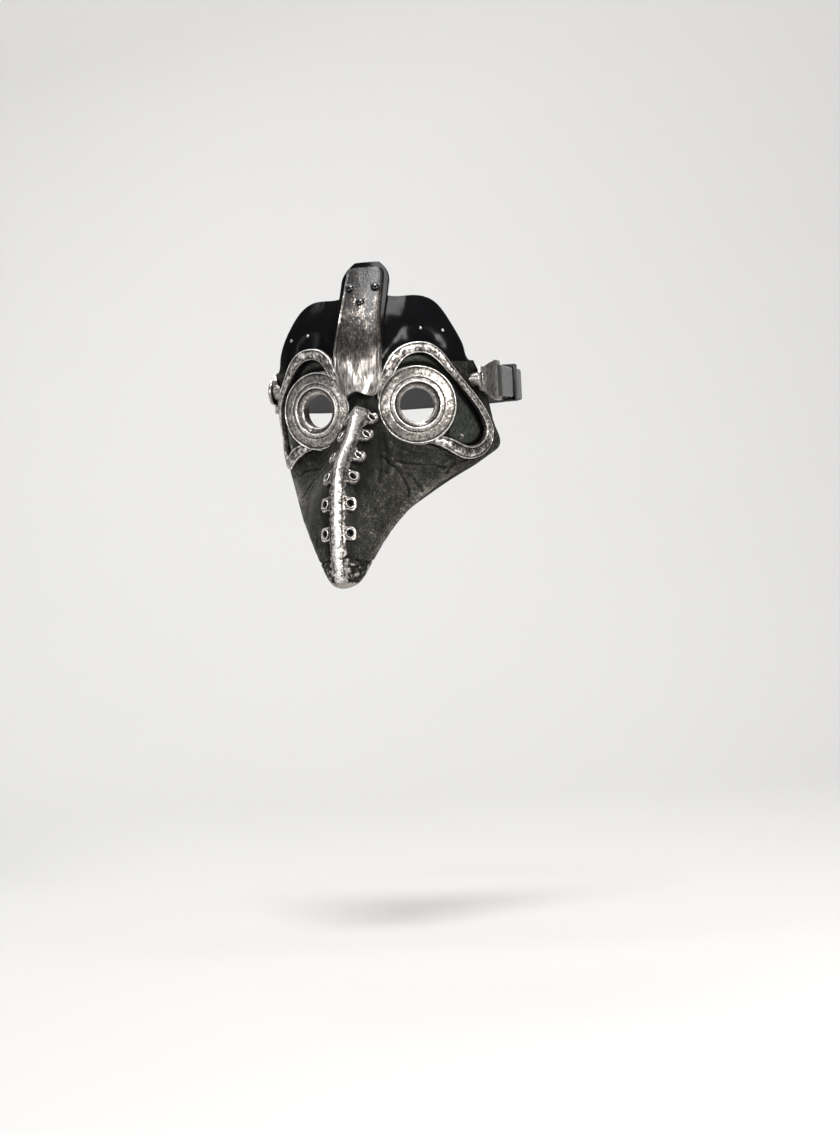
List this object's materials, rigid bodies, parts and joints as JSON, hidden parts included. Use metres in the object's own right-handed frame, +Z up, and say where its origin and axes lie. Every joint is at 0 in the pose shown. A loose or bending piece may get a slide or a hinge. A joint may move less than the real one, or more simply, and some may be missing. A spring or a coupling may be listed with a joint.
{
  "type": "plague doctor mask",
  "caption": "Hooked beak half mask in black leather with silver-edged goggles, a laced ridge, a riveted forehead plate and a pivoting elastic head strap.",
  "frame": {"origin": "midway between the centres of the two eye holes", "axes": "+Z up, the mask looks along -Y, +X is the wearer's left, +Y runs to the back of the wearer's head"},
  "size_m": [0.1571, 0.2534, 0.2111],
  "materials": {
    "face_leather": "satin, dry-brushed with silver",
    "brow_patent": "gloss",
    "pad_leather": "satin",
    "silvered_leather": "worn silver paint over black",
    "tip_leather": "gloss with silver edges",
    "worn_silver": "worn silver",
    "eyelet_metal": "worn",
    "black_rivet": "gloss black",
    "steel_fitting": "aged",
    "black_elastic": "woven",
    "black_plastic": "semi-gloss"
  },
  "bodies": {
    "mask": {"beak_spine": "silvered_leather", "beak_tip_cap": "tip_leather", "brow_panel_left": "brow_patent", "brow_panel_right": "brow_patent", "brow_stud_left_1": "black_rivet", "brow_stud_left_2": "black_rivet", "brow_stud_right_1": "black_rivet", "brow_stud_right_2": "black_rivet", "eye_bezel_left": "worn_silver", "eye_bezel_right": "worn_silver", "eye_ring_left": "worn_silver", "eye_ring_right": "worn_silver", "eyelet_left_1": "eyelet_metal", "eyelet_left_2": "eyelet_metal", "eyelet_left_3": "eyelet_metal", "eyelet_left_4": "eyelet_metal", "eyelet_left_5": "eyelet_metal", "eyelet_left_6": "eyelet_metal", "eyelet_right_1": "eyelet_metal", "eyelet_right_2": "eyelet_metal", "eyelet_right_3": "eyelet_metal", "eyelet_right_4": "eyelet_metal", "eyelet_right_5": "eyelet_metal", "eyelet_right_6": "eyelet_metal", "face_panel_left": "face_leather", "face_panel_right": "face_leather", "forehead_backing": "brow_patent", "forehead_plate": "silvered_leather", "forehead_rivet_1": "black_rivet", "forehead_rivet_2": "black_rivet", "forehead_rivet_3": "black_rivet", "goggle_frame_left": "silvered_leather", "goggle_frame_right": "silvered_leather", "goggle_pad_left": "pad_leather", "goggle_pad_right": "pad_leather", "lace_tab_left_1": "silvered_leather", "lace_tab_left_2": "silvered_leather", "lace_tab_left_3": "silvered_leather", "lace_tab_left_4": "silvered_leather", "lace_tab_left_5": "silvered_leather", "lace_tab_left_6": "silvered_leather", "lace_tab_right_1": "silvered_leather", "lace_tab_right_2": "silvered_leather", "lace_tab_right_3": "silvered_leather", "lace_tab_right_4": "silvered_leather", "lace_tab_right_5": "silvered_leather", "lace_tab_right_6": "silvered_leather", "pad_stud_left": "steel_fitting", "pad_stud_right": "steel_fitting", "temple_boss_left": "steel_fitting", "temple_boss_right": "steel_fitting", "temple_rivet_left": "steel_fitting", "temple_rivet_right": "steel_fitting", "temple_washer_left": "steel_fitting", "temple_washer_right": "steel_fitting"},
    "head_strap": {"head_strap": "black_elastic", "strap_hanger_left": "steel_fitting", "strap_hanger_right": "steel_fitting"},
    "strap_slide": {"strap_slide": "black_plastic"}
  },
  "joints": [
    {"name": "strap_swing", "type": "hinge", "parent": "mask", "child": "head_strap", "pos_m": [0, 0.0245, 0.0155], "axis": [1, 0, 0], "range_deg": [-20, 35]},
    {"name": "slide_adjust", "type": "slide", "parent": "head_strap", "child": "strap_slide", "axis": [0, 1, 0], "range_m": [-0.02, 0.014]}
  ]
}
